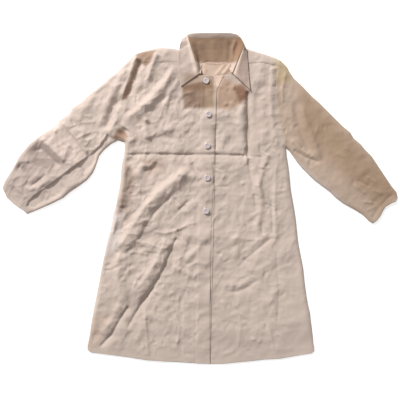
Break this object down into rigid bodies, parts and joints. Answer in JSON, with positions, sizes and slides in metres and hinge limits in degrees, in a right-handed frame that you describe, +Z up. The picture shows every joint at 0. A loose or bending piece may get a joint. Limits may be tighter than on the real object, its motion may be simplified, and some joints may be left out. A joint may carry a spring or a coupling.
{
  "type": "artist smock",
  "caption": "Long-sleeved beige cotton artist smock laid flat: A-line body, yoke, pointed collar and buttoned front placket; sleeves, elbows, fronts, collar points and buttons move.",
  "frame": {"origin": "on the floor, at the centre of the garment's outline as it lies flat on its back", "axes": "+X toward the wearer's left cuff, +Y toward the collar, +Z up out of the floor, front of the garment facing up"},
  "size_m": [1.0508, 0.8737, 0.0253],
  "materials": {
    "cotton": "plain-weave washed cotton, matte, softly creased",
    "interlining": "matte non-woven",
    "button": "semi-gloss resin",
    "thread": "twisted sewing thread"
  },
  "bodies": {
    "body": {"back_panel": "cotton", "back_yoke": "cotton", "back_yoke_facing": "cotton", "right_side_seam": "cotton", "left_side_seam": "cotton", "right_front_side_panel": "cotton", "left_front_side_panel": "cotton", "collar_back_under": "cotton", "collar_back_interlining": "interlining", "collar_back_upper": "cotton", "collar_stand": "cotton"},
    "right_front": {"right_front_panel": "cotton", "buttonhole_placket": "cotton", "buttonhole_placket_facing": "cotton", "buttonhole_placket_interlining": "interlining"},
    "left_front": {"left_front_panel": "cotton", "button_band": "cotton", "button_band_facing": "cotton", "button_band_interlining": "interlining"},
    "right_sleeve": {"right_sleeve_upper": "cotton"},
    "left_sleeve": {"left_sleeve_upper": "cotton"},
    "right_forearm": {"right_sleeve_lower": "cotton"},
    "left_forearm": {"left_sleeve_lower": "cotton"},
    "right_collar": {"right_collar_under": "cotton", "right_collar_interlining": "interlining", "right_collar_upper": "cotton"},
    "left_collar": {"left_collar_under": "cotton", "left_collar_interlining": "interlining", "left_collar_upper": "cotton"},
    "button_1": {"button_1": "button", "button_thread_1": "thread"},
    "button_2": {"button_2": "button", "button_thread_2": "thread"},
    "button_3": {"button_3": "button", "button_thread_3": "thread"},
    "button_4": {"button_4": "button", "button_thread_4": "thread"},
    "button_5": {"button_5": "button", "button_thread_5": "thread"}
  },
  "joints": [
    {"name": "right_sleeve_fold", "type": "hinge", "parent": "body", "child": "right_sleeve", "pos_m": [-0.2015, 0.15, 0.011], "axis": [0.1271, 0.9919, 0], "range_deg": [0, 165]},
    {"name": "left_sleeve_fold", "type": "hinge", "parent": "body", "child": "left_sleeve", "pos_m": [0.229, 0.136, 0.011], "axis": [-0.0735, 0.9973, 0], "range_deg": [-165, 0]},
    {"name": "right_front_open", "type": "hinge", "parent": "body", "child": "right_front", "pos_m": [-0.2418, -0.4113, 0.011], "axis": [0.3149, 0.9491, 0], "range_deg": [-120, 0], "deforming": ["buttonhole_placket", "buttonhole_placket_facing", "buttonhole_placket_interlining"]},
    {"name": "left_front_open", "type": "hinge", "parent": "body", "child": "left_front", "pos_m": [0.2564, -0.4184, 0.0107], "axis": [-0.2332, 0.9724, 0], "range_deg": [0, 120]},
    {"name": "right_elbow_fold", "type": "hinge", "parent": "right_sleeve", "child": "right_forearm", "pos_m": [-0.3664, 0.2056, 0.011], "axis": [0.6443, -0.7647, 0], "range_deg": [-120, 0]},
    {"name": "left_elbow_fold", "type": "hinge", "parent": "left_sleeve", "child": "left_forearm", "pos_m": [0.365, 0.2083, 0.011], "axis": [-0.5929, -0.8053, 0], "range_deg": [0, 120]},
    {"name": "right_collar_flip", "type": "hinge", "parent": "body", "child": "right_collar", "pos_m": [-0.006, 0.3315, 0.0147], "axis": [-0.2617, 0.9603, 0.0965], "range_deg": [0, 120]},
    {"name": "left_collar_flip", "type": "hinge", "parent": "body", "child": "left_collar", "pos_m": [0.0849, 0.3342, 0.01497], "axis": [0.3839, 0.9188, 0.0923], "range_deg": [-120, 0]},
    {"name": "turn_button_1", "type": "hinge", "parent": "left_front", "child": "button_1", "pos_m": [0.0158, 0.313, 0.0138], "axis": [0, 0, 1], "range_deg": [-30, 30]},
    {"name": "turn_button_2", "type": "hinge", "parent": "left_front", "child": "button_2", "pos_m": [0.022, 0.225, 0.0138], "axis": [0, 0, 1], "range_deg": [-30, 30]},
    {"name": "turn_button_3", "type": "hinge", "parent": "left_front", "child": "button_3", "pos_m": [0.0192, 0.142, 0.0138], "axis": [0, 0, 1], "range_deg": [-30, 30]},
    {"name": "turn_button_4", "type": "hinge", "parent": "left_front", "child": "button_4", "pos_m": [0.0189, 0.0572, 0.0138], "axis": [0, 0, 1], "range_deg": [-30, 30]},
    {"name": "turn_button_5", "type": "hinge", "parent": "left_front", "child": "button_5", "pos_m": [0.0158, -0.0302, 0.0138], "axis": [0, 0, 1], "range_deg": [-30, 30]}
  ]
}
